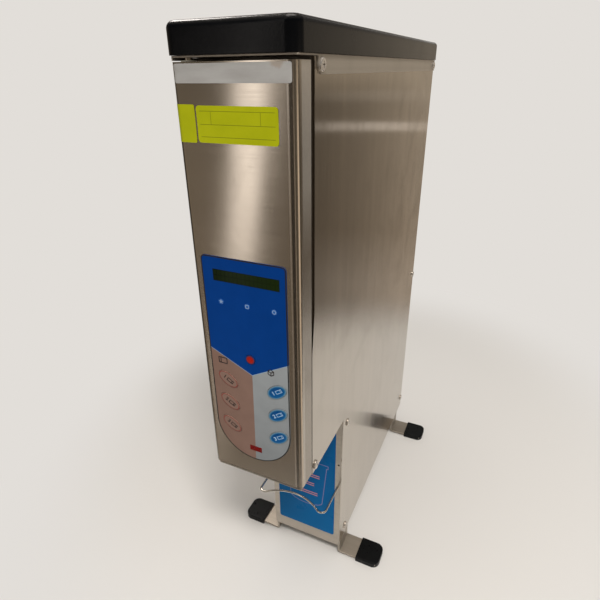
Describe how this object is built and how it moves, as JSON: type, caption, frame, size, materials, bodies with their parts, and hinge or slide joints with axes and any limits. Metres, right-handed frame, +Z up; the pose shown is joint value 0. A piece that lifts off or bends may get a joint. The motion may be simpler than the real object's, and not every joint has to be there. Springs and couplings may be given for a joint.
{
  "type": "granulated sugar and sweetener dispenser",
  "caption": "Narrow upright stainless dispenser: hinged lid over twin hoppers, augers, hinged keypad door, wire cup guide below the head, and flat legs.",
  "frame": {"origin": "on the floor, at the middle of the footprint of the legs' width and the lid's depth", "axes": "+Z up, +Y from the door towards the back, +X to the right seen from the front"},
  "size_m": [0.216, 0.476, 0.672],
  "materials": {
    "side_stainless": "vertical brushed satin",
    "door_stainless": "brushed satin",
    "column_stainless": "brushed satin",
    "deck_stainless": "brushed satin",
    "rear_stainless": "brushed satin",
    "leg_stainless": "brushed satin",
    "inner_stainless": "mill finish",
    "lid_plastic": "fine moulded grain, semi gloss",
    "cap_rubber": "dipped vinyl, semi gloss",
    "blue_label": "printed film",
    "keypad_print": "printed polyester film",
    "display_lens": "dark window",
    "display_metal": "black bezel",
    "indicator_lens": "clear lens",
    "status_red": "red window",
    "key_blue": "blue key",
    "key_pink": "pink key",
    "key_red": "red key",
    "guide_chrome": "bright wire",
    "screw_steel": "turned",
    "pin_steel": "ground",
    "hinge_steel": "pressed",
    "hopper_plastic": "food-grade moulding",
    "seal_rubber": "silicone",
    "bush_plastic": "acetal",
    "gear_plastic": "acetal",
    "auger_plastic": "food-grade moulding",
    "motor_metal": "plated case",
    "supply_case": "folded case",
    "inlet_plastic": "black moulding",
    "rocker_plastic": "black moulding",
    "catch_plastic": "black moulding",
    "board_laminate": "green laminate",
    "standoff_brass": "turned"
  },
  "bodies": {
    "cabinet": {"side_panel_left": "side_stainless", "side_panel_right": "side_stainless", "front_bulkhead": "inner_stainless", "head_floor": "inner_stainless", "column_front": "column_stainless", "splash_label": "blue_label", "base_pan": "inner_stainless", "mid_shelf": "inner_stainless", "rear_cover": "rear_stainless", "top_deck": "deck_stainless", "leg_straps": "leg_stainless", "foot_caps": "cap_rubber", "panel_screws": "screw_steel", "hopper_sweetener": "hopper_plastic", "hopper_sugar": "hopper_plastic", "hopper_seals": "seal_rubber", "auger_bushes": "bush_plastic", "agitator_bushes": "bush_plastic", "discharge_chute": "hopper_plastic", "motor_bracket": "inner_stainless", "gearmotors": "motor_metal", "motor_screws": "screw_steel", "power_supply": "supply_case", "power_inlet": "inlet_plastic", "switch_housing": "inlet_plastic", "door_pivot_pins": "pin_steel", "magnet_catch": "catch_plastic", "lid_hinge_fixed_leaf": "hinge_steel", "lid_hinge_pin": "pin_steel"},
    "lid": {"lid_shell": "lid_plastic", "lid_seal": "seal_rubber", "lid_hinge_moving_leaf": "hinge_steel"},
    "door": {"door_pan": "door_stainless", "door_bushes": "bush_plastic", "keypad_overlay": "keypad_print", "display_window": "display_lens", "display_module": "display_metal", "control_board": "board_laminate", "board_standoffs": "standoff_brass", "indicator_lenses": "indicator_lens", "status_lens": "status_red"},
    "rocker": {"power_rocker": "rocker_plastic"},
    "cup_guide": {"cup_guide": "guide_chrome"},
    "auger_sweetener": {"auger_sweetener": "auger_plastic", "auger_gear_sweetener": "gear_plastic", "motor_shaft_sweetener": "pin_steel"},
    "agitator_sweetener": {"agitator_sweetener": "pin_steel", "agitator_gear_sweetener": "gear_plastic"},
    "auger_sugar": {"auger_sugar": "auger_plastic", "auger_gear_sugar": "gear_plastic", "motor_shaft_sugar": "pin_steel"},
    "agitator_sugar": {"agitator_sugar": "pin_steel", "agitator_gear_sugar": "gear_plastic"},
    "key_sweetener_1": {"key_sweetener_1": "key_pink"},
    "key_sweetener_2": {"key_sweetener_2": "key_pink"},
    "key_sweetener_3": {"key_sweetener_3": "key_pink"},
    "key_sugar_1": {"key_sugar_1": "key_blue"},
    "key_sugar_2": {"key_sugar_2": "key_blue"},
    "key_sugar_3": {"key_sugar_3": "key_blue"},
    "key_stop": {"key_stop": "key_red"}
  },
  "joints": [
    {"name": "lid_hinge", "type": "hinge", "parent": "cabinet", "child": "lid", "pos_m": [0, 0.2346, 0.6469], "axis": [-1, 0, 0], "range_deg": [0, 100]},
    {"name": "door_hinge", "type": "hinge", "parent": "cabinet", "child": "door", "pos_m": [-0.042, -0.227, 0.449], "axis": [0, 0, -1], "range_deg": [0, 100]},
    {"name": "power_rocker_tilt", "type": "hinge", "parent": "cabinet", "child": "rocker", "pos_m": [0, 0.2281, 0.112], "axis": [1, 0, 0], "range_deg": [0, 16]},
    {"name": "cup_guide_slide", "type": "slide", "parent": "cabinet", "child": "cup_guide", "axis": [0, -1, 0], "range_m": [0, 0.012]},
    {"name": "auger_sweetener_spin", "type": "hinge", "parent": "cabinet", "child": "auger_sweetener", "pos_m": [-0.0245, 0, 0.288], "axis": [0, 1, 0], "continuous": true},
    {"name": "agitator_sweetener_spin", "type": "hinge", "parent": "cabinet", "child": "agitator_sweetener", "pos_m": [-0.0245, 0, 0.324], "axis": [0, 1, 0], "continuous": true},
    {"name": "auger_sugar_spin", "type": "hinge", "parent": "cabinet", "child": "auger_sugar", "pos_m": [0.0245, 0, 0.288], "axis": [0, 1, 0], "continuous": true},
    {"name": "agitator_sugar_spin", "type": "hinge", "parent": "cabinet", "child": "agitator_sugar", "pos_m": [0.0245, 0, 0.324], "axis": [0, 1, 0], "continuous": true},
    {"name": "key_sweetener_1_press", "type": "slide", "parent": "door", "child": "key_sweetener_1", "axis": [0, 1, 0], "range_m": [0, 0.0005], "stiffness_N_per_m": 300, "springref_m": -0.0005},
    {"name": "key_sweetener_2_press", "type": "slide", "parent": "door", "child": "key_sweetener_2", "axis": [0, 1, 0], "range_m": [0, 0.0005], "stiffness_N_per_m": 300, "springref_m": -0.0005},
    {"name": "key_sweetener_3_press", "type": "slide", "parent": "door", "child": "key_sweetener_3", "axis": [0, 1, 0], "range_m": [0, 0.0005], "stiffness_N_per_m": 300, "springref_m": -0.0005},
    {"name": "key_sugar_1_press", "type": "slide", "parent": "door", "child": "key_sugar_1", "axis": [0, 1, 0], "range_m": [0, 0.0005], "stiffness_N_per_m": 300, "springref_m": -0.0005},
    {"name": "key_sugar_2_press", "type": "slide", "parent": "door", "child": "key_sugar_2", "axis": [0, 1, 0], "range_m": [0, 0.0005], "stiffness_N_per_m": 300, "springref_m": -0.0005},
    {"name": "key_sugar_3_press", "type": "slide", "parent": "door", "child": "key_sugar_3", "axis": [0, 1, 0], "range_m": [0, 0.0005], "stiffness_N_per_m": 300, "springref_m": -0.0005},
    {"name": "key_stop_press", "type": "slide", "parent": "door", "child": "key_stop", "axis": [0, 1, 0], "range_m": [0, 0.0005], "stiffness_N_per_m": 300, "springref_m": -0.0005}
  ],
  "couplings": [
    {"joint": "agitator_sweetener_spin", "follows": "auger_sweetener_spin", "ratio": -0.71429},
    {"joint": "agitator_sugar_spin", "follows": "auger_sugar_spin", "ratio": -0.71429}
  ]
}
